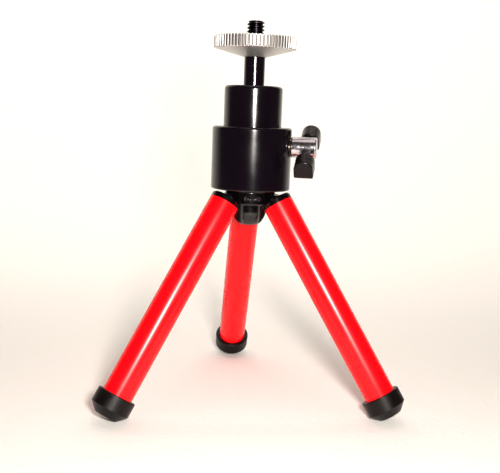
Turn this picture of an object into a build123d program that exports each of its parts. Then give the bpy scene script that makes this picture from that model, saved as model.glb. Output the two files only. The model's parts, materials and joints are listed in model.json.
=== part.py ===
"""Folding tabletop mini tripod with a ball head.

Three tubular legs fold on pins in a hub under a two-step head. The small step is a turret that
turns in the big one and holds a ball with a stem, a camera stud and a clamping disc. A side screw
with a sliding cross bar pushes a wedge, and the wedge lifts a plunger that locks ball and turret.

Millimetres, +Z up, floor at z = 0, Z through the middle of the head. One leg points to +Y.
"""

import os
from math import cos, radians, sin, sqrt

from build123d import *

os.makedirs("parts", exist_ok=True)

# ---- driving sizes -------------------------------------------------------------------------
# Clearances
running = 0.05
sliding_gap = 0.10
seat_gap = 0.02
pin_edge = 0.15
screw_edge = 0.3

# Legs
leg_azimuths = {"left": 210.0, "right": -30.0, "back": 90.0}
leg_splay = 32.8
tube_radius = 5.5
tube_wall = 0.8
tube_in_sight = 77.1
hinge_beyond_tube = 0.47
hinge_eye_radius = 2.2
hinge_pin_radius = 1.0
leg_offset = 3.5
shoulder_drop = 2.4
collar_length = 2.2
collar_chamfer = 0.6
tongue_half = 2.0
tongue_foot = 0.2
plug_depth = 9.0

# Feet
foot_wall = 1.5
foot_wall_height = 5.2
foot_bevel = 2.9
foot_round = 0.8
foot_socket_depth = 4.5

# Hub
hub_core_radius = 6.3
hub_flange_beyond_hinge = 3.23
hub_flange_edge = 0.6
hub_drop = 12.6
hub_dome_height = 5.6
hub_dome_bottom_radius = 3.3
hub_screw_radius = 1.5
hub_screw_head_radius = 2.6
hub_screw_head_height = 1.8
hub_washer_thickness = 0.4
hub_screw_recess = 0.5
hub_screw_head_edge = 0.5
hub_hex_depth = 1.0
pin_recess = 0.5

# Housing, the big step of the head
housing_height = 22.6
housing_wall = 2.3
housing_lip = 2.2
housing_edge = 1.0
base_plate_thickness = 0.4
base_plate_beyond_hub = 0.4
base_spigot_height = 4.9

# Turret, the small step
turret_radius = 10.55
turret_above_housing = 14.6
turret_edge = 1.3
turret_flange_width = 1.35
turret_flange_gap = 0.3
turret_flange_thickness = 1.5
pan_washer_thickness = 0.5

# Ball, stem and stud
turret_wall = 3.05
ball_below_turret_top = 8.2
mouth_above_ball_centre = 4.5
mouth_rim_radius = 8.2
notch_side_gap = 0.25
stem_radius = 3.75
stem_above_turret = 10.2
stem_spigot_radius = 2.6
stem_spigot_below_centre = 3.5
stem_in_ball = 0.3
stem_edge = 0.2
stud_radius = 6.35 / 2
stud_above_disc = 5.6
stud_chamfer = 0.6
stud_relief = 0.175
stud_relief_above_disc = 0.25
stud_shank_radius = 2.2
stud_shank_length = 9.0

# Clamping disc
disc_radius = 14.85
disc_rim_height = 4.2
disc_cone_height = 2.8
disc_hub_radius = 4.4
disc_edge = 0.3
flute_count = 72
flute_radius = 0.42
flute_centre_outside = 0.12
pad_inset = 1.45
pad_inner_radius = 5.5
pad_thickness = 1.0
pad_proud = 0.1

# Lock screw, wedge and plunger
lock_azimuth = -16.5
lock_screw_below_turret = 0.16
lock_screw_radius = 2.4
lock_boss_radius = 3.83
lock_boss_length = 9.1
lock_boss_edge = 0.5
lock_boss_gap = 0.25
lock_boss_socket = 2.6
bushing_radius = 3.4
wedge_radius = 2.3
wedge_tip_distance = 2.2
wedge_length = 5.2
wedge_room = 0.6
wedge_roof_room = 0.3
plunger_gap = 1.5
plunger_edge = 1.0
plunger_below_ball = 0.5
plunger_above_spigot = 1.0
plunger_stroke = 0.7

# Cross bar
bar_tilt = 30.0
bar_radius = 1.3
bar_from_boss_end = 3.1
tip_radius = 3.42
tip_length = 6.6
tip_edge = 0.5
tip_cap = 1.5
bar_play = 4.35

# ---- radii that follow ---------------------------------------------------------------------
hinge_radius = tube_radius + hinge_beyond_tube
foot_radius = tube_radius + foot_wall
hub_flange_radius = hinge_radius + hub_flange_beyond_hinge
ball_radius = turret_radius - turret_wall - 2 * running
turret_flange_radius = turret_radius + turret_flange_width
housing_bore = turret_flange_radius + turret_flange_gap
housing_radius = housing_bore + housing_wall
plunger_radius = housing_bore - plunger_gap
lock_boss_start = housing_radius + lock_boss_gap
base_plate_radius = hub_flange_radius + base_plate_beyond_hub
pad_outer_radius = disc_radius - pad_inset

# ---- heights and directions that follow ----------------------------------------------------
splay_sin = sin(radians(leg_splay))
splay_cos = cos(radians(leg_splay))
foot_height = foot_wall_height + foot_bevel
foot_end_radius = foot_radius - foot_bevel
cup_rim_along = shoulder_drop + collar_length + tube_in_sight
foot_end_along = cup_rim_along + foot_height
# The foot touches the floor on the rounded edge of its end face.
edge_centre_radius = foot_end_radius - foot_round * (sqrt(2) - 1)
hinge_height = (
    foot_round
    + splay_cos * (foot_end_along - foot_round)
    - splay_sin * (leg_offset - edge_centre_radius)
)
# The base plate clears the bevelled top corner of each collar and the hinge eyes.
collar_corner_out = leg_offset + tube_radius - collar_chamfer
collar_corner_rise = splay_sin * collar_corner_out - splay_cos * shoulder_drop
base_underside = hinge_height + max(collar_corner_rise, hinge_eye_radius) + seat_gap
housing_bottom = base_underside + base_plate_thickness
housing_top = housing_bottom + housing_height
lip_underside = housing_top - housing_lip
turret_top = housing_top + turret_above_housing
flange_top = lip_underside - pan_washer_thickness - 2 * seat_gap
turret_bottom = flange_top - turret_flange_thickness
ball_height = turret_top - ball_below_turret_top
ball_socket_radius = ball_radius + running
turret_bore = ball_socket_radius + running
stem_top = turret_top + stem_above_turret
disc_underside = stem_top + seat_gap
disc_rim_bottom = disc_underside + disc_cone_height
disc_top = disc_rim_bottom + disc_rim_height
pad_bottom = disc_top - pad_thickness + pad_proud
pad_top = disc_top + pad_proud
stud_top = disc_top + stud_above_disc
lock_height = turret_bottom - lock_screw_radius - lock_screw_below_turret
lock_boss_end = lock_boss_start + lock_boss_length
bar_distance = lock_boss_end - bar_from_boss_end


# ---- planes --------------------------------------------------------------------------------
def leg_plane(azimuth, along=0.0, out=0.0):
    """Frame of a leg: origin at its hinge, z along the leg to the foot, x to its outer side."""
    radial = Vector(cos(radians(azimuth)), sin(radians(azimuth)), 0)
    up = Vector(0, 0, 1)
    outer = radial * splay_cos + up * splay_sin
    down = radial * splay_sin - up * splay_cos
    hinge = radial * hinge_radius + up * hinge_height
    return Plane(origin=hinge + outer * out + down * along, x_dir=outer, z_dir=down)


def leg_side_plane(azimuth):
    """Upright plane through a leg: origin at the hinge, x along the leg, y to its outer side."""
    frame = leg_plane(azimuth)
    return Plane(origin=frame.origin, x_dir=frame.z_dir, z_dir=frame.z_dir.cross(frame.x_dir))


def lock_plane(distance):
    """Plane across the lock screw at a distance from the head's middle, z pointing outward."""
    away = Vector(cos(radians(lock_azimuth)), sin(radians(lock_azimuth)), 0)
    middle = away * distance + Vector(0, 0, lock_height)
    return Plane(origin=middle, x_dir=away.cross(Vector(0, 0, 1)), z_dir=away)


def bar_plane(distance):
    """Plane across the cross bar, z along the bar toward its low front end, x along the screw."""
    across = lock_plane(bar_distance)
    low = across.x_dir * cos(radians(bar_tilt)) - Vector(0, 0, 1) * sin(radians(bar_tilt))
    return Plane(origin=across.origin + low * distance, x_dir=across.z_dir, z_dir=low)


def export(part, name):
    """Labels one piece and writes it to its own file."""
    part.label = name
    export_step(part, f"parts/{name}.step")


# ---- hub -----------------------------------------------------------------------------------
hub_bottom = base_underside - hub_drop
flange_bottom = hinge_height - hinge_eye_radius - 2 * sliding_gap
slot_half = tongue_half + sliding_gap
slot_inner = hinge_radius - hinge_eye_radius - 2 * sliding_gap
slot_bottom = hinge_height - shoulder_drop - tongue_foot - sliding_gap
leg_clearance_radius = tube_radius + 2 * sliding_gap
leg_clearance_drop = shoulder_drop - sliding_gap
folded_leg_radius = hinge_radius + leg_offset
screw_head_bottom = hub_bottom + hub_screw_recess
washer_bottom = screw_head_bottom + hub_screw_head_height
washer_top = washer_bottom + hub_washer_thickness

with BuildPart() as leg_hub:
    with BuildSketch(Plane.XZ):
        with BuildLine():
            Polyline(
                (0, hub_bottom),
                (0, base_underside),
                (hub_core_radius, base_underside),
                (hub_core_radius, hub_bottom + hub_dome_height),
            )
            RadiusArc(
                (hub_core_radius, hub_bottom + hub_dome_height),
                (hub_dome_bottom_radius, hub_bottom),
                hub_core_radius,
            )
            Line((hub_dome_bottom_radius, hub_bottom), (0, hub_bottom))
        make_face()
    revolve(axis=Axis.Z)
    with BuildSketch(Plane.XY.offset(flange_bottom)):
        Circle(hub_flange_radius)
    extrude(amount=base_underside - flange_bottom)
    fillet(leg_hub.edges().filter_by(GeomType.CIRCLE).sort_by(SortBy.RADIUS)[-2:], hub_flange_edge)
    # Radial slots for the tongues of the legs
    for azimuth in leg_azimuths.values():
        with BuildSketch(Plane.XY.offset(slot_bottom)):
            with Locations(Rotation(0, 0, azimuth) * Location((slot_inner, 0, 0))):
                Rectangle(hub_flange_radius, 2 * slot_half, align=(Align.MIN, Align.CENTER))
        extrude(amount=base_underside, mode=Mode.SUBTRACT)
    # Room for the tubes, spread and folded
    for azimuth in leg_azimuths.values():
        with BuildSketch(leg_plane(azimuth, leg_clearance_drop, leg_offset)):
            Circle(leg_clearance_radius)
        extrude(amount=tube_in_sight, mode=Mode.SUBTRACT)
        with BuildSketch(Plane.XY.offset(hinge_height - leg_clearance_drop)):
            with Locations(Rotation(0, 0, azimuth) * Location((folded_leg_radius, 0, 0))):
                Circle(leg_clearance_radius)
        extrude(amount=-hub_drop, mode=Mode.SUBTRACT)
    # Pin holes across the slots
    for azimuth in leg_azimuths.values():
        with BuildSketch(leg_side_plane(azimuth)):
            Circle(hinge_pin_radius)
        extrude(amount=hub_flange_radius, both=True, mode=Mode.SUBTRACT)
    # Screw hole and the recess for its head
    with BuildSketch(Plane.XY.offset(hub_bottom)):
        Circle(hub_screw_radius + running)
    extrude(amount=hub_drop, mode=Mode.SUBTRACT)
    with BuildSketch(Plane.XY.offset(hub_bottom)):
        Circle(hub_screw_head_radius + sliding_gap)
    extrude(amount=washer_top - hub_bottom, mode=Mode.SUBTRACT)
export(leg_hub.part, "leg_hub")

# The pins end just inside the round of the flange.
pin_half = sqrt(hub_flange_radius**2 - hinge_radius**2) - pin_recess
with BuildPart() as hinge_pins:
    for azimuth in leg_azimuths.values():
        with BuildSketch(leg_side_plane(azimuth)):
            Circle(hinge_pin_radius)
        extrude(amount=pin_half, both=True)
    chamfer(hinge_pins.edges().filter_by(GeomType.CIRCLE), pin_edge)
export(hinge_pins.part, "hinge_pins")

with BuildPart() as hub_washer:
    with BuildSketch(Plane.XY.offset(washer_bottom)):
        Circle(hub_screw_head_radius)
        Circle(hub_screw_radius + running, mode=Mode.SUBTRACT)
    extrude(amount=hub_washer_thickness)
export(hub_washer.part, "hub_washer")

with BuildPart() as hub_screw:
    with BuildSketch(Plane.XY.offset(screw_head_bottom)):
        Circle(hub_screw_head_radius)
    extrude(amount=hub_screw_head_height)
    fillet(hub_screw.edges().group_by(Axis.Z)[0], hub_screw_head_edge)
    with BuildSketch(Plane.XY.offset(screw_head_bottom)):
        RegularPolygon(hub_screw_radius, 6)
    extrude(amount=hub_hex_depth, mode=Mode.SUBTRACT)
    with BuildSketch(Plane.XY.offset(washer_bottom)):
        Circle(hub_screw_radius)
    extrude(amount=base_underside + base_spigot_height - washer_bottom)
export(hub_screw.part, "hub_screw")


# ---- legs ----------------------------------------------------------------------------------
def build_knuckle(azimuth, name):
    """Plug of a leg: a tongue with the hinge eye, a collar flush with the tube, and the plug."""
    with BuildPart() as knuckle:
        with BuildSketch(leg_plane(azimuth, shoulder_drop, leg_offset)):
            Circle(tube_radius)
        extrude(amount=collar_length)
        chamfer(knuckle.edges().filter_by(GeomType.CIRCLE).sort_by(Axis.Z)[-1], collar_chamfer)
        with BuildSketch(leg_plane(azimuth, shoulder_drop + collar_length, leg_offset)):
            Circle(tube_radius - tube_wall)
        extrude(amount=plug_depth)
        with BuildSketch(leg_side_plane(azimuth)):
            Circle(hinge_eye_radius)
            with Locations((shoulder_drop, leg_offset / 2)):
                Rectangle(tongue_foot, 2 * hinge_eye_radius + leg_offset)
            make_hull()
        extrude(amount=tongue_half, both=True)
        with BuildSketch(leg_side_plane(azimuth)):
            Circle(hinge_pin_radius + running)
        extrude(amount=2 * tongue_half, both=True, mode=Mode.SUBTRACT)
    export(knuckle.part, name)


def build_tube(azimuth, name):
    """Thin leg tube from the collar to inside the rubber foot."""
    with BuildPart() as tube:
        with BuildSketch(leg_plane(azimuth, shoulder_drop + collar_length, leg_offset)):
            Circle(tube_radius)
            Circle(tube_radius - tube_wall, mode=Mode.SUBTRACT)
        extrude(amount=tube_in_sight + foot_socket_depth)
    export(tube.part, name)


def build_foot(azimuth, name):
    """Rubber cup over the end of a tube, bevelled toward its flat end."""
    across = leg_plane(azimuth, cup_rim_along, leg_offset)
    with BuildPart() as foot:
        with BuildSketch(across):
            Circle(foot_radius)
        extrude(amount=foot_height)
        ends = foot.edges().filter_by(GeomType.CIRCLE).sort_by(Axis.Z)
        chamfer(ends[0], foot_bevel)
        ends = foot.edges().filter_by(GeomType.CIRCLE).sort_by(SortBy.RADIUS)
        fillet(ends[0], foot_round)
        ends = foot.edges().filter_by(GeomType.CIRCLE).sort_by(Axis.Z)
        fillet(ends[-1], foot_round / 2)
        with BuildSketch(across):
            Circle(tube_radius)
        extrude(amount=foot_socket_depth, mode=Mode.SUBTRACT)
    export(foot.part, name)


for side, azimuth in leg_azimuths.items():
    build_knuckle(azimuth, f"leg_knuckle_{side}")
    build_tube(azimuth, f"leg_tube_{side}")
    build_foot(azimuth, f"leg_foot_{side}")

# ---- housing and base ----------------------------------------------------------------------
with BuildPart() as housing:
    with BuildSketch(Plane.XY.offset(housing_bottom)):
        Circle(housing_radius)
    extrude(amount=housing_height)
    fillet(housing.edges().group_by(Axis.Z)[-1], housing_edge)
    fillet(housing.edges().group_by(Axis.Z)[0], housing_edge / 2)
    with BuildSketch(Plane.XY.offset(housing_bottom)):
        Circle(housing_bore)
    extrude(amount=housing_height - housing_lip, mode=Mode.SUBTRACT)
    with BuildSketch(Plane.XY.offset(lip_underside)):
        Circle(turret_radius + running)
    extrude(amount=housing_lip, mode=Mode.SUBTRACT)
    with BuildSketch(lock_plane(0)):
        Circle(bushing_radius)
    extrude(amount=housing_radius, mode=Mode.SUBTRACT)
export(housing.part, "housing")

with BuildPart() as base_plug:
    with BuildSketch(Plane.XY.offset(base_underside)):
        Circle(base_plate_radius)
    extrude(amount=base_plate_thickness)
    chamfer(base_plug.edges().group_by(Axis.Z)[0], base_plate_thickness / 4)
    with BuildSketch(Plane.XY.offset(housing_bottom)):
        Circle(housing_bore)
    extrude(amount=base_spigot_height)
    with BuildSketch(Plane.XY.offset(base_underside)):
        Circle(hub_screw_radius)
    extrude(amount=base_spigot_height + base_plate_thickness, mode=Mode.SUBTRACT)
export(base_plug.part, "base_plug")

bushing_outer = sqrt(housing_radius**2 - bushing_radius**2)
with BuildPart() as lock_bushing:
    with BuildSketch(lock_plane(housing_bore)):
        Circle(bushing_radius)
        Circle(lock_screw_radius + running, mode=Mode.SUBTRACT)
    extrude(amount=bushing_outer - housing_bore)
export(lock_bushing.part, "lock_bushing")

# ---- turret --------------------------------------------------------------------------------
mouth_lip_radius = sqrt(ball_socket_radius**2 - mouth_above_ball_centre**2)
notch_half = stem_radius + notch_side_gap

with BuildPart() as turret:
    with BuildSketch(Plane.XY.offset(turret_bottom)):
        Circle(turret_flange_radius)
    extrude(amount=turret_flange_thickness)
    with BuildSketch(Plane.XY.offset(turret_bottom)):
        Circle(turret_radius)
    extrude(amount=turret_top - turret_bottom)
    fillet(turret.edges().group_by(Axis.Z)[-1], turret_edge)
    # Bore, ball socket and flared mouth
    with BuildSketch(Plane.XY.offset(turret_bottom)):
        Circle(turret_bore)
    extrude(amount=ball_height - turret_bottom, mode=Mode.SUBTRACT)
    with BuildSketch(Plane.XZ):
        with BuildLine():
            CenterArc((0, ball_height), ball_socket_radius, -90, 180)
            Line(
                (0, ball_height + ball_socket_radius),
                (0, ball_height - ball_socket_radius),
            )
        make_face()
    revolve(axis=Axis.Z, mode=Mode.SUBTRACT)
    with BuildSketch(Plane.XZ):
        with BuildLine():
            Polyline(
                (0, ball_height + mouth_above_ball_centre),
                (mouth_lip_radius, ball_height + mouth_above_ball_centre),
                (mouth_rim_radius, turret_top),
                (0, turret_top),
                close=True,
            )
        make_face()
    revolve(axis=Axis.Z, mode=Mode.SUBTRACT)
    # Notch at the back that lets the stem lie level
    with BuildSketch(Plane.XZ):
        with Locations((0, ball_height)):
            Circle(notch_half)
            Rectangle(2 * notch_half, 2 * turret_radius, align=(Align.CENTER, Align.MIN))
    extrude(amount=-2 * turret_radius, mode=Mode.SUBTRACT)
export(turret.part, "turret")

with BuildPart() as pan_washer:
    with BuildSketch(Plane.XY.offset(flange_top + seat_gap)):
        Circle(turret_flange_radius)
        Circle(turret_radius + sliding_gap, mode=Mode.SUBTRACT)
    extrude(amount=pan_washer_thickness)
export(pan_washer.part, "pan_washer")

# ---- plunger and ball seat -----------------------------------------------------------------
plunger_top = ball_height - ball_radius - plunger_below_ball
seat_top = ball_height - stem_radius - sliding_gap
plunger_shoulder = turret_bottom - sliding_gap
plunger_bottom = housing_bottom + base_spigot_height + plunger_stroke + plunger_above_spigot
neck_radius = turret_bore - sliding_gap
roof_rise = wedge_radius + plunger_stroke + wedge_roof_room
roof_start = wedge_tip_distance - wedge_room

with BuildPart() as plunger:
    with BuildSketch(Plane.XY.offset(plunger_bottom)):
        Circle(plunger_radius)
    extrude(amount=plunger_shoulder - plunger_bottom)
    chamfer(plunger.edges().group_by(Axis.Z)[0], plunger_edge)
    with BuildSketch(Plane.XY.offset(plunger_shoulder)):
        Circle(neck_radius)
    extrude(amount=plunger_top - plunger_shoulder)
    # Side opening with a sloped roof that the wedge pushes up
    wedge_side = Plane(
        origin=lock_plane(0).origin, x_dir=lock_plane(0).z_dir, z_dir=-lock_plane(0).x_dir
    )
    with BuildSketch(wedge_side):
        with BuildLine():
            Polyline(
                (roof_start, -roof_rise),
                (roof_start, -wedge_room + sliding_gap / 2),
                (wedge_tip_distance + roof_rise - sliding_gap / 2, roof_rise),
                (2 * plunger_radius, roof_rise),
                (2 * plunger_radius, -roof_rise),
                close=True,
            )
        make_face()
    extrude(amount=lock_screw_radius + sliding_gap, both=True, mode=Mode.SUBTRACT)
export(plunger.part, "plunger")

with BuildPart() as ball_seat:
    with BuildSketch(Plane.XY.offset(plunger_top)):
        Circle(neck_radius)
    extrude(amount=seat_top - plunger_top)
    with Locations((0, 0, ball_height)):
        Sphere(ball_socket_radius, mode=Mode.SUBTRACT)
export(ball_seat.part, "ball_seat")

# ---- ball, stem and stud -------------------------------------------------------------------
stem_shoulder = ball_height + sqrt(ball_radius**2 - stem_radius**2) - stem_in_ball
spigot_bottom = ball_height - stem_spigot_below_centre

with BuildPart() as ball:
    with Locations((0, 0, ball_height)):
        Sphere(ball_radius)
    with BuildSketch(Plane.XY.offset(stem_shoulder)):
        Circle(ball_radius)
    extrude(amount=ball_radius, mode=Mode.SUBTRACT)
    with BuildSketch(Plane.XY.offset(spigot_bottom)):
        Circle(stem_spigot_radius + running)
    extrude(amount=ball_radius * 2, mode=Mode.SUBTRACT)
export(ball.part, "ball")

with BuildPart() as stem:
    with BuildSketch(Plane.XY.offset(spigot_bottom + seat_gap)):
        Circle(stem_spigot_radius)
    extrude(amount=stem_shoulder - spigot_bottom)
    with BuildSketch(Plane.XY.offset(stem_shoulder + seat_gap)):
        Circle(stem_radius)
    extrude(amount=stem_top - stem_shoulder - seat_gap)
    chamfer(stem.edges().group_by(Axis.Z)[-1], stem_edge)
    with BuildSketch(Plane.XY.offset(stem_top - stud_shank_length)):
        Circle(stud_shank_radius)
    extrude(amount=stud_shank_length, mode=Mode.SUBTRACT)
export(stem.part, "stem")

with BuildPart() as camera_stud:
    with BuildSketch(Plane.XY.offset(stem_top - stud_shank_length)):
        Circle(stud_shank_radius)
    extrude(amount=stud_shank_length)
    # The stretch inside the disc is relieved, and the full thread starts just above it.
    with BuildSketch(Plane.XY.offset(stem_top)):
        Circle(stud_radius - stud_relief)
    extrude(amount=disc_top - stem_top)
    with BuildSketch(Plane.XY.offset(disc_top + stud_relief_above_disc)):
        Circle(stud_radius)
    extrude(amount=stud_above_disc - stud_relief_above_disc)
    with BuildSketch(Plane.XY.offset(disc_top)):
        Circle(stud_radius - stud_relief)
    extrude(amount=stud_relief_above_disc)
    chamfer(camera_stud.edges().group_by(Axis.Z)[-1], stud_chamfer)
export(camera_stud.part, "camera_stud")

# ---- clamping disc and its pad -------------------------------------------------------------
with BuildPart() as clamp_disc:
    with BuildSketch(Plane.XZ):
        with BuildLine():
            Polyline(
                (stud_radius + running, disc_underside),
                (disc_hub_radius, disc_underside),
                (disc_radius - disc_edge, disc_rim_bottom),
                (disc_radius, disc_rim_bottom + disc_edge),
                (disc_radius, disc_top - disc_edge),
                (disc_radius - disc_edge, disc_top),
                (pad_outer_radius + sliding_gap, disc_top),
                (pad_outer_radius + sliding_gap, pad_bottom - seat_gap),
                (pad_inner_radius - sliding_gap, pad_bottom - seat_gap),
                (pad_inner_radius - sliding_gap, disc_top),
                (stud_radius + running, disc_top),
                close=True,
            )
        make_face()
    revolve(axis=Axis.Z)
    with BuildSketch(Plane.XY.offset(disc_rim_bottom - disc_edge)):
        with PolarLocations(disc_radius + flute_centre_outside, flute_count):
            Circle(flute_radius)
    extrude(amount=disc_rim_height + 2 * disc_edge, mode=Mode.SUBTRACT)
export(clamp_disc.part, "clamp_disc")

with BuildPart() as clamp_pad:
    with BuildSketch(Plane.XY.offset(pad_bottom)):
        Circle(pad_outer_radius)
        Circle(pad_inner_radius, mode=Mode.SUBTRACT)
    extrude(amount=pad_thickness)
export(clamp_pad.part, "clamp_pad")

# ---- lock wedge, screw, boss and cross bar -------------------------------------------------
wedge_end = wedge_tip_distance + wedge_length
with BuildPart() as lock_wedge:
    with BuildSketch(wedge_side):
        with BuildLine():
            Polyline(
                (wedge_tip_distance, 0),
                (wedge_tip_distance + wedge_radius, wedge_radius),
                (wedge_end, wedge_radius),
                (wedge_end, 0),
                close=True,
            )
        make_face()
    revolve(axis=Axis(lock_plane(0).origin, lock_plane(0).z_dir))
export(lock_wedge.part, "lock_wedge")

socket_bottom = lock_boss_start + lock_boss_socket
with BuildPart() as lock_screw:
    with BuildSketch(lock_plane(wedge_end + seat_gap)):
        Circle(lock_screw_radius)
    extrude(amount=socket_bottom - wedge_end - 2 * seat_gap)
    chamfer(lock_screw.edges().filter_by(GeomType.CIRCLE), screw_edge)
export(lock_screw.part, "lock_screw")

with BuildPart() as lock_boss:
    with BuildSketch(lock_plane(lock_boss_start)):
        Circle(lock_boss_radius)
    extrude(amount=lock_boss_length)
    fillet(lock_boss.edges().filter_by(GeomType.CIRCLE), lock_boss_edge)
    with BuildSketch(lock_plane(lock_boss_start)):
        Circle(lock_screw_radius)
    extrude(amount=lock_boss_socket, mode=Mode.SUBTRACT)
    with BuildSketch(bar_plane(0)):
        Circle(bar_radius + running)
    extrude(amount=2 * lock_boss_radius, both=True, mode=Mode.SUBTRACT)
export(lock_boss.part, "lock_boss")

# The bar rests slid down, with its upper tip against the boss.
upper_tip_start = lock_boss_radius + sliding_gap
lower_tip_start = upper_tip_start + bar_play
tip_socket_depth = tip_length - tip_cap
with BuildPart() as cross_bar:
    with BuildSketch(bar_plane(-upper_tip_start - tip_socket_depth)):
        Circle(bar_radius)
    extrude(amount=upper_tip_start + lower_tip_start + 2 * tip_socket_depth)
export(cross_bar.part, "cross_bar")


def build_tip(start, way, name):
    """Grip on one end of the cross bar: round on its upper side, flat underneath."""
    with BuildPart() as tip:
        with BuildSketch(bar_plane(way * start)):
            Circle(tip_radius)
            Rectangle(2 * tip_radius, tip_radius, align=(Align.CENTER, Align.MAX))
        extrude(amount=way * tip_length)
        fillet(tip.edges().filter_by(GeomType.LINE), tip_edge)
        with BuildSketch(bar_plane(way * start)):
            Circle(bar_radius)
        extrude(amount=way * tip_socket_depth, mode=Mode.SUBTRACT)
    export(tip.part, name)


build_tip(lower_tip_start, 1, "bar_tip_lower")
build_tip(upper_tip_start, -1, "bar_tip_upper")
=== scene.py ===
"""Looks, stage and camera for the folding tabletop tripod. Metres, in the CAD frame."""

import json
from math import cos, pi, sin

import bpy
import numpy as np
from mathutils import Matrix, Vector


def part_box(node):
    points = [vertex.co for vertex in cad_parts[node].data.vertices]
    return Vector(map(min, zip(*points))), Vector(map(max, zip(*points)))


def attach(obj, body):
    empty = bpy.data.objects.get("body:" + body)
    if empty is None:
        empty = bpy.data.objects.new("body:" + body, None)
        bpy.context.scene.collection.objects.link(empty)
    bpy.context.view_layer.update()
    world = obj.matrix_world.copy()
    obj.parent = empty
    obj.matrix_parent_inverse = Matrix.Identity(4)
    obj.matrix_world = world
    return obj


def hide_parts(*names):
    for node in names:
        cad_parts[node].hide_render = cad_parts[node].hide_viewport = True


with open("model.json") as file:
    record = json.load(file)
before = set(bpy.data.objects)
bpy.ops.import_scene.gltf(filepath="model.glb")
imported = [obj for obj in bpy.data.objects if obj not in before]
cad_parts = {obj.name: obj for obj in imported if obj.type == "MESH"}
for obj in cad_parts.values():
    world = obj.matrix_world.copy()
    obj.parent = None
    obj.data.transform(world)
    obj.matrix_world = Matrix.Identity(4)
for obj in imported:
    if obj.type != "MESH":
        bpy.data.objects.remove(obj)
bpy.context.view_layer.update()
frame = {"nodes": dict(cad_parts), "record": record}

mm = 0.001


# ---- small helpers -------------------------------------------------------------------------
def colour(code):
    """Linear colour of an sRGB hex code: each channel through the sRGB curve."""
    values = np.array([int(code[i : i + 2], 16) for i in (1, 3, 5)]) / 255
    linear = np.where(values <= 0.04045, values / 12.92, ((values + 0.055) / 1.055) ** 2.4)
    return (*linear.tolist(), 1.0)


def add(material, kind, links=None, **settings):
    """Adds a shader node: settings are its properties, links its inputs by name or number."""
    node = material.node_tree.nodes.new(kind)
    for name, value in settings.items():
        setattr(node, name, value)
    for name, value in (links or {}).items():
        if isinstance(value, bpy.types.NodeSocket):
            material.node_tree.links.new(value, node.inputs[name])
        else:
            node.inputs[name].default_value = value
    return node


def finish(name, **inputs):
    """A new material and its Principled shader with the given inputs set."""
    material = bpy.data.materials.new(name)
    material.use_nodes = True
    shader = material.node_tree.nodes["Principled BSDF"]
    for key, value in inputs.items():
        shader.inputs[key.replace("_", " ")].default_value = value
    return material, shader


def wire(material, socket, shader, name):
    """Links a socket to an input of the shader."""
    material.node_tree.links.new(socket, shader.inputs[name])


def object_place(material):
    """Object coordinates of the piece, in metres."""
    return add(material, "ShaderNodeTexCoord").outputs["Object"]


def noise(material, place, size, detail=3.0, stretch=(1, 1, 1)):
    """Noise whose grains are about size metres, stretched along an axis by a mapping."""
    scaled = add(
        material, "ShaderNodeMapping", {"Vector": place, "Scale": [s / size for s in stretch]}
    )
    grain = add(
        material,
        "ShaderNodeTexNoise",
        {"Vector": scaled.outputs["Vector"], "Scale": 1.0, "Detail": detail},
    )
    return grain.outputs["Fac"]


def spread(material, socket, low, high, start=0.3, end=0.7):
    """Maps a grey value from start..end to low..high."""
    return add(
        material,
        "ShaderNodeMapRange",
        {"Value": socket, "From Min": start, "From Max": end, "To Min": low, "To Max": high},
    ).outputs["Result"]


def bump(material, height, depth, normal=None):
    """Bump of a grey value, with the depth in metres."""
    links = {"Height": height, "Strength": 1.0, "Distance": depth}
    if normal is not None:
        links["Normal"] = normal
    return add(material, "ShaderNodeBump", links).outputs["Normal"]


def across_the_turning(material, place):
    """Direction across the lathe marks: the surface normal crossed with the way round the axis."""
    way_round = add(
        material,
        "ShaderNodeVectorMath",
        {0: (0.0, 0.0, 1.0), 1: place},
        operation="CROSS_PRODUCT",
    )
    turned = add(
        material,
        "ShaderNodeVectorTransform",
        {"Vector": way_round.outputs["Vector"]},
        vector_type="VECTOR",
        convert_from="OBJECT",
        convert_to="WORLD",
    )
    across = add(
        material,
        "ShaderNodeVectorMath",
        {0: turned.outputs["Vector"], 1: add(material, "ShaderNodeNewGeometry").outputs["Normal"]},
        operation="CROSS_PRODUCT",
    )
    return across.outputs["Vector"]


def axis_radius(material, place):
    """Distance from the head's axis, in metres."""
    split = add(material, "ShaderNodeSeparateXYZ", {"Vector": place})
    flat = add(
        material,
        "ShaderNodeCombineXYZ",
        {"X": split.outputs["X"], "Y": split.outputs["Y"], "Z": 0.0},
    )
    length = add(material, "ShaderNodeVectorMath", {0: flat.outputs["Vector"]}, operation="LENGTH")
    return length.outputs["Value"]


# ---- materials -----------------------------------------------------------------------------
def anodised_black_aluminium():
    """Turned aluminium, dyed black and sealed: near black, with a long streak along the axis."""
    material, shader = finish(
        "anodised black aluminium, polished",
        Base_Color=colour("#0A050B"),
        IOR=1.5,
        Anisotropic=0.3,
    )
    # The marks of the lathe tool are finer than this and are drawn coarser, so that they show.
    lathe_pitch = 0.35 * mm
    lathe_depth = 0.002 * mm
    finger_mark = 6 * mm
    along_only = (0.02, 0.02, 1.0)
    place = object_place(material)
    marks = noise(material, place, lathe_pitch, 2.0, along_only)
    smudge = noise(material, place, finger_mark, 4.0)
    wire(material, spread(material, smudge, 0.12, 0.17), shader, "Roughness")
    wire(material, bump(material, marks, lathe_depth), shader, "Normal")
    wire(material, across_the_turning(material, place), shader, "Tangent")
    return material


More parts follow.
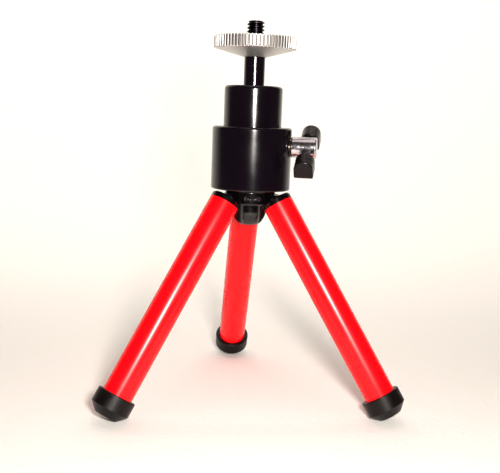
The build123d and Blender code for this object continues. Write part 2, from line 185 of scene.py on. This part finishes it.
def lacquered_red_tube():
    """Drawn aluminium tube under clear red lacquer: saturated, glossy, with a soft streak."""
    material, shader = finish(
        "lacquered red aluminium tube",
        Base_Color=colour("#FF0510"),
        IOR=1.47,
        Specular_IOR_Level=0.3,
    )
    peel_size = 1.2 * mm
    peel_depth = 0.002 * mm
    finger_mark = 9 * mm
    place = object_place(material)
    orange_peel = noise(material, place, peel_size, 2.0)
    smudge = noise(material, place, finger_mark, 1.0)
    wire(material, spread(material, smudge, 0.24, 0.29), shader, "Roughness")
    wire(material, bump(material, orange_peel, peel_depth), shader, "Normal")
    return material


def turned_aluminium():
    """Bare turned aluminium: satin bright, fine rings round the axis, painted dark shade in the
    flutes.
    """
    material, shader = finish("turned bare aluminium", Metallic=1.0)
    ring_pitch = 0.3 * mm
    ring_depth = 0.006 * mm
    finger_mark = 5 * mm
    place = object_place(material)
    radius = axis_radius(material, place)
    scaled = add(
        material, "ShaderNodeMath", {0: radius, 1: 1 / ring_pitch}, operation="MULTIPLY"
    )
    marks = add(
        material,
        "ShaderNodeTexNoise",
        {"W": scaled.outputs["Value"], "Scale": 1.0, "Detail": 2.0},
        noise_dimensions="1D",
    )
    smudge = noise(material, place, finger_mark, 4.0)
    # Painted shade: the floor of each flute on the disc's rim is coloured dark grey.
    tone = add(
        material,
        "ShaderNodeMix",
        {
            "Factor": flute_painted_shade(material, place, radius),
            "A": colour("#D2CFCC"),
            "B": colour("#66615F"),
        },
        data_type="RGBA",
    )
    wire(material, tone.outputs["Result"], shader, "Base Color")
    wire(material, spread(material, smudge, 0.4, 0.52), shader, "Roughness")
    wire(material, bump(material, marks.outputs["Fac"], ring_depth), shader, "Normal")
    return material


def flute_painted_shade(material, place, radius):
    """Share of painted shade: 1 at the floor of the flutes round the disc's rim, 0 elsewhere."""
    disc_low, disc_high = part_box("clamp_disc")
    rim_radius = (disc_high[0] - disc_low[0]) / 2
    rim_top = disc_high[2]
    rim_height = 4.1 * mm
    rim_edge = 0.3 * mm
    painted_shade_floor = 0.25 * mm
    painted_shade_end = 0.04 * mm
    fade = 0.1 * mm
    in_flute = spread(
        material, radius, 1.0, 0.0, rim_radius - painted_shade_floor, rim_radius - painted_shade_end
    )
    height = add(material, "ShaderNodeSeparateXYZ", {"Vector": place}).outputs["Z"]
    above_cone = spread(
        material, height, 0.0, 1.0, rim_top - rim_height, rim_top - rim_height + fade
    )
    below_top = spread(material, height, 1.0, 0.0, rim_top - rim_edge, rim_top - rim_edge + fade)
    band = add(material, "ShaderNodeMath", {0: above_cone, 1: below_top}, operation="MULTIPLY")
    painted_shade = add(
        material, "ShaderNodeMath", {0: band.outputs["Value"], 1: in_flute}, operation="MULTIPLY"
    )
    return painted_shade.outputs["Value"]


def chrome_plate():
    """Chrome plate over a machined boss: bright, with pits that break up its highlight."""
    material, shader = finish(
        "chrome plate",
        Base_Color=colour("#CBC6CC"),
        Metallic=1.0,
    )
    pit_size = 0.7 * mm
    pit_depth = 0.05 * mm
    place = object_place(material)
    pits = noise(material, place, pit_size, 3.0)
    wire(material, spread(material, pits, 0.14, 0.26, 0.4, 0.65), shader, "Roughness")
    wire(material, bump(material, pits, pit_depth), shader, "Normal")
    return material


def moulded_black_nylon():
    """Injection-moulded black nylon: glossy, with a soft flow ripple."""
    material, shader = finish(
        "moulded black nylon",
        Base_Color=colour("#050305"),
        IOR=1.53,
    )
    ripple_size = 2.2 * mm
    ripple_depth = 0.04 * mm
    place = object_place(material)
    ripple = noise(material, place, ripple_size, 2.0)
    wire(material, spread(material, ripple, 0.1, 0.18), shader, "Roughness")
    wire(material, bump(material, ripple, ripple_depth), shader, "Normal")
    return material


def black_rubber():
    """Moulded rubber: matt black, with a fine grain and a soft sheen where it has worn."""
    material, shader = finish(
        "moulded black rubber",
        Base_Color=colour("#080404"),
        IOR=1.52,
        Specular_IOR_Level=0.2,
    )
    grain_size = 0.5 * mm
    grain_depth = 0.02 * mm
    wear_size = 4 * mm
    place = object_place(material)
    grain = noise(material, place, grain_size, 3.0)
    wear = noise(material, place, wear_size, 4.0)
    wire(material, spread(material, wear, 0.34, 0.5), shader, "Roughness")
    wire(material, bump(material, grain, grain_depth), shader, "Normal")
    return material


def vinyl_grip():
    """Dipped vinyl grip: black with a soft sheen and slight dimples."""
    material, shader = finish(
        "dipped black vinyl",
        Base_Color=colour("#0C0506"),
        IOR=1.53,
        Specular_IOR_Level=0.2,
    )
    dimple_size = 1.0 * mm
    dimple_depth = 0.03 * mm
    place = object_place(material)
    dimple = noise(material, place, dimple_size, 2.0)
    wire(material, spread(material, dimple, 0.22, 0.36), shader, "Roughness")
    wire(material, bump(material, dimple, dimple_depth), shader, "Normal")
    return material


def blackened_steel():
    """Oil-blackened steel screw: dark metal with worn crests."""
    material, shader = finish(
        "oil-blackened steel",
        Base_Color=colour("#38343A"),
        Metallic=1.0,
    )
    wear_size = 0.8 * mm
    wear = noise(material, object_place(material), wear_size, 3.0)
    wire(material, spread(material, wear, 0.18, 0.3), shader, "Roughness")
    return material


def machined_steel():
    """Machined steel: dull dark grey metal with fine scratches."""
    material, shader = finish(
        "machined steel",
        Base_Color=colour("#5E5C5E"),
        Metallic=1.0,
        Roughness=0.28,
    )
    scratch_size = 0.4 * mm
    scratch = noise(material, object_place(material), scratch_size, 3.0)
    wire(material, spread(material, scratch, 0.2, 0.4), shader, "Roughness")
    return material


def turned_brass():
    """Turned brass: yellow metal, slightly dull."""
    material, shader = finish(
        "turned brass",
        Base_Color=colour("#C9A45A"),
        Metallic=1.0,
        Roughness=0.3,
    )
    tarnish_size = 2 * mm
    dull = noise(material, object_place(material), tarnish_size, 3.0)
    wire(material, spread(material, dull, 0.22, 0.45), shader, "Roughness")
    return material


def natural_nylon():
    """Natural nylon: milky white and waxy."""
    material, shader = finish(
        "natural nylon",
        Base_Color=colour("#E6E2D6"),
        Roughness=0.45,
        IOR=1.53,
    )
    bloom_size = 2 * mm
    waxy = noise(material, object_place(material), bloom_size, 3.0)
    wire(material, spread(material, waxy, 0.38, 0.55), shader, "Roughness")
    return material


black_metal = anodised_black_aluminium()
red = lacquered_red_tube()
aluminium = turned_aluminium()
chrome = chrome_plate()
nylon_black = moulded_black_nylon()
rubber = black_rubber()
vinyl = vinyl_grip()
black_screw = blackened_steel()
steel = machined_steel()
brass = turned_brass()
nylon = natural_nylon()

slot_finish = {
    "black_anodised": black_metal,
    "black_plastic": nylon_black,
    "red_tube": red,
    "bare_aluminium": aluminium,
    "chrome": chrome,
    "black_rubber": rubber,
    "black_steel": black_screw,
    "steel": steel,
    "brass": brass,
    "nylon": nylon,
    "tip_plastic": vinyl,
}
for entry in frame["record"]["subparts"]:
    node_object = frame["nodes"][entry["node"]]
    node_object.data.materials.clear()
    node_object.data.materials.append(slot_finish[entry["material_slot"]])


# ---- surfaces ------------------------------------------------------------------------------
def surface(name, points, material, close_end=True):
    """A mesh from a grid of points, rows x columns, where each row is a closed ring.

    The first row, and the last if close_end is set, is capped with a fan to its own middle.
    """
    rows, columns, _ = points.shape
    corners = np.vstack([points.reshape(-1, 3), points[0].mean(axis=0), points[-1].mean(axis=0)])
    ring = np.arange(columns)
    ahead = (ring + 1) % columns
    row = np.arange(rows - 1)[:, None] * columns
    quads = np.stack([row + ring, row + ahead, row + columns + ahead, row + columns + ring], -1)
    first_fan = np.stack([ahead, ring, np.full(columns, rows * columns)], -1)
    last = (rows - 1) * columns
    last_fan = np.stack([last + ring, last + ahead, np.full(columns, rows * columns + 1)], -1)
    faces = quads.reshape(-1, 4).tolist() + first_fan.tolist()
    if close_end:
        faces += last_fan.tolist()
    else:
        corners = corners[:-1]
    mesh = bpy.data.meshes.new(name)
    mesh.from_pydata(corners.tolist(), [], faces)
    mesh.materials.append(material)
    mesh.polygons.foreach_set("use_smooth", np.full(len(mesh.polygons), True))
    piece = bpy.data.objects.new(name, mesh)
    bpy.context.scene.collection.objects.link(piece)
    return piece


def turned_points(profile, turn):
    """Grid of points of a profile of radius and height turned round Z by the angles given."""
    radius, height = profile.T[:, :, None]
    return np.stack(
        np.broadcast_arrays(radius * np.cos(turn), radius * np.sin(turn), height), axis=-1
    )


# ---- camera stud with its helical thread ---------------------------------------------------
def stud_thread():
    """The stud: its radius falls from the crest with the phase of a helix, z / pitch - turn.

    Below the disc it is a plain shank inside the stem.
    """
    low, high = (np.array(corner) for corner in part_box("camera_stud"))
    disc_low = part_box("clamp_disc")[0][2]
    crest = (high[0] - low[0]) / 2
    pitch = 1.27 * mm
    depth = 0.72 * mm
    shank = 2.2 * mm
    chamfer = 0.6 * mm
    seat_gap = 0.02 * mm
    crest_half = 0.07
    flank_share = 0.36
    steps_round = 96
    steps_per_turn = 28
    bottom = disc_low - seat_gap
    turn = np.linspace(0, 2 * pi, steps_round, endpoint=False)
    height = np.linspace(bottom, high[2], int((high[2] - bottom) / pitch * steps_per_turn))
    turn_grid, height_grid = np.meshgrid(turn, height)
    phase = ((height_grid - bottom) / pitch - turn_grid / (2 * pi)) % 1.0
    flank = np.clip((np.abs(phase - 0.5) - crest_half) / flank_share, 0, 1)
    radius = crest - depth * flank
    lead_in = np.clip((high[2] - height_grid) / chamfer, 0, 1)
    radius = np.minimum(radius, crest - chamfer * (1 - lead_in))
    thread = np.stack(
        [radius * np.cos(turn_grid), radius * np.sin(turn_grid), height_grid], axis=-1
    )
    lower_end = turned_points(np.array([[shank, low[2]], [shank, bottom]]), turn)
    piece = surface("camera_stud_thread", np.concatenate([lower_end, thread]), black_screw)
    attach(piece, "stem")
    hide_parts("camera_stud")


stud_thread()


# ---- camera --------------------------------------------------------------------------------
# The camera stands in front and a little to the left, level with the ball, and looks slightly down.
# Angles in radians, distance and height in metres, lens and film in millimetres.
camera_turn = 0.10693
camera_yaw = 0.002
camera_pitch = -0.1503
camera_roll = 0.03683
camera_distance = 0.30453
camera_height = 0.10698
camera_lens = 59.73
film_width = 36.0

heading = camera_turn + camera_yaw
forward = Vector(
    (sin(heading) * cos(camera_pitch), cos(heading) * cos(camera_pitch), sin(camera_pitch))
)
level_right = Vector((cos(heading), -sin(heading), 0))
level_up = level_right.cross(forward)
right = cos(camera_roll) * level_right + sin(camera_roll) * level_up
up = cos(camera_roll) * level_up - sin(camera_roll) * level_right
camera_place = Vector(
    (-camera_distance * sin(camera_turn), -camera_distance * cos(camera_turn), camera_height)
)
camera_data = bpy.data.cameras.new("camera")
camera_data.lens = camera_lens
camera_data.sensor_width = film_width
camera_data.clip_start = 10 * mm
camera = bpy.data.objects.new("camera", camera_data)
camera.matrix_world = Matrix(
    (
        (right.x, up.x, -forward.x, camera_place.x),
        (right.y, up.y, -forward.y, camera_place.y),
        (right.z, up.z, -forward.z, camera_place.z),
        (0, 0, 0, 1),
    )
)
bpy.context.scene.collection.objects.link(camera)
bpy.context.scene.camera = camera


# ---- stage ---------------------------------------------------------------------------------
def pale_card():
    """Pale card under and behind the object, with painted shade: it turns grey in front and at the
    sides.

    The painted shade comes in as y minus the slope times the radius falls from the no-shade value
    to the full-shade value, in metres.
    """
    material, shader = finish("pale studio card with painted shade", Roughness=0.85)
    shade_slope = 1.2
    shade_none = -0.31
    shade_full = -0.51
    tooth_size = 2.5 * mm
    tooth_depth = 0.15 * mm
    place = object_place(material)
    tooth = noise(material, place, tooth_size, 4.0)
    wire(material, bump(material, tooth, tooth_depth), shader, "Normal")
    depth = add(material, "ShaderNodeSeparateXYZ", {"Vector": place}).outputs["Y"]
    behind = add(
        material,
        "ShaderNodeMath",
        {0: axis_radius(material, place), 1: -shade_slope, 2: depth},
        operation="MULTIPLY_ADD",
    )
    pale = spread(material, behind.outputs["Value"], 0.0, 1.0, shade_full, shade_none)
    # Painted shade: the card is coloured grey in front and at the sides, pale behind.
    tone = add(
        material,
        "ShaderNodeMix",
        {"Factor": pale, "A": colour("#5A5753"), "B": colour("#FAF7F2")},
        data_type="RGBA",
    )
    wire(material, tone.outputs["Result"], shader, "Base Color")
    return material


def round_stage():
    """Floor that turns up into a round wall: radius and height follow a quarter circle."""
    wall_radius = 0.6
    wall_height = 0.7
    bend = 0.25
    floor_middle = 0.01
    angle = np.linspace(0, pi / 2, 24)
    curve = np.column_stack(
        [wall_radius - bend + bend * np.sin(angle), bend - bend * np.cos(angle)]
    )
    profile = np.vstack([[floor_middle, 0.0], curve, [wall_radius, wall_height]])
    turn = np.linspace(2 * pi, 0, 96, endpoint=False)
    surface("studio_card", turned_points(profile, turn), pale_card(), close_end=False)


round_stage()


# ---- light ---------------------------------------------------------------------------------
def softbox(name, place, aim, width, height, watts, code):
    """Area light at a place, pointing at a spot."""
    data = bpy.data.lights.new(name, "AREA")
    data.shape = "RECTANGLE"
    data.size = width
    data.size_y = height
    data.energy = watts
    data.color = colour(code)[:3]
    light = bpy.data.objects.new(name, data)
    light.location = place
    light.rotation_euler = (Vector(aim) - Vector(place)).to_track_quat("-Z", "Y").to_euler()
    bpy.context.scene.collection.objects.link(light)


# The key light stands just right of and above the camera, so the black parts get a thin streak.
head_middle = Vector((0, 0, 0.08))
key_place = camera_place + 0.035 * right + 0.022 * up
overhead_place = (0, -0.05, 0.6)
backdrop_place = (0, 0.2, 0.45)
backdrop_aim = (0, 0.6, 0.15)
softbox("key", key_place, head_middle, 0.036, 0.03, 1.7, "#FFF9F3")
softbox("overhead", overhead_place, head_middle, 0.3, 0.3, 0.35, "#FFF2E6")
softbox("backdrop", backdrop_place, backdrop_aim, 0.6, 0.25, 2.2, "#FFF9F3")

world = bpy.data.worlds.new("studio")
world.use_nodes = True
background = world.node_tree.nodes["Background"]
background.inputs["Color"].default_value = colour("#E6DED6")
background.inputs["Strength"].default_value = 0.05
bpy.context.scene.world = world
bpy.context.scene.view_settings.view_transform = "Standard"
